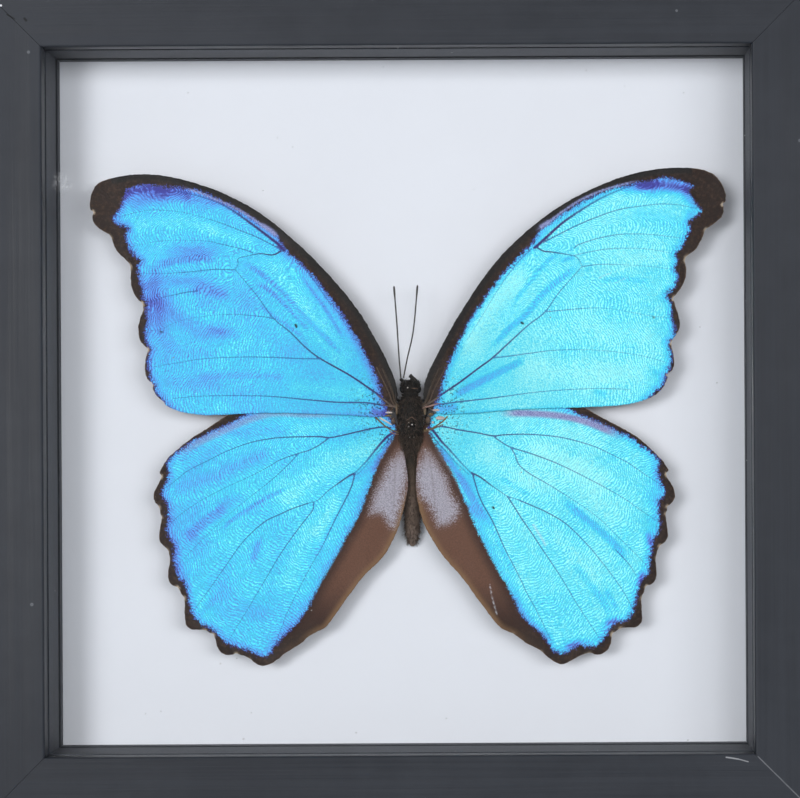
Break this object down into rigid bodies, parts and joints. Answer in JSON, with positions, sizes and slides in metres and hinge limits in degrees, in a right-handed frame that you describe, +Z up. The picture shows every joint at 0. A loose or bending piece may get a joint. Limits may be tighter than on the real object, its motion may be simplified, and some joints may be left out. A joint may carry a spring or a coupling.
{
  "type": "framed butterfly specimen",
  "caption": "Large iridescent blue butterfly, wings spread, fixed on a white board in a deep black glazed shadow-box frame.",
  "frame": {"origin": "middle of the footprint of the bottom rail, on the surface that the frame stands on", "axes": "+X to the right as seen from the front, +Y from the glass to the back, +Z up"},
  "size_m": [0.19, 0.032, 0.19],
  "materials": {
    "black_wood": "satin black paint over a faint lengthwise grain",
    "black_card": "matt black",
    "clear_glass": "clear float glass with a faint smudge and dust",
    "white_card": "matt cool white",
    "hardboard": "plain brown hardboard",
    "steel": "plain zinc-plated sheet",
    "cork": "raw cork",
    "wing_scales": "iridescent blue scales with a dark brown margin",
    "body_fur": "short dark brown hair",
    "chitin": "dark brown cuticle"
  },
  "bodies": {
    "root": {"rail_bottom": "black_wood", "rail_left": "black_wood", "rail_top": "black_wood", "rail_right": "black_wood", "spacer_bottom": "black_card", "spacer_left": "black_card", "spacer_top": "black_card", "spacer_right": "black_card", "glass": "clear_glass", "mount_board": "white_card", "backing_panel": "hardboard", "framer_point_1": "steel", "framer_point_2": "steel", "framer_point_3": "steel", "framer_point_4": "steel", "framer_point_5": "steel", "framer_point_6": "steel", "framer_point_7": "steel", "framer_point_8": "steel", "hanger": "steel", "hanger_nail_left": "steel", "hanger_nail_right": "steel", "mounting_block": "cork", "forewing_left": "wing_scales", "forewing_right": "wing_scales", "hindwing_left": "wing_scales", "hindwing_right": "wing_scales", "body": "body_fur", "antenna_left": "chitin", "antenna_right": "chitin"}
  },
  "joints": []
}
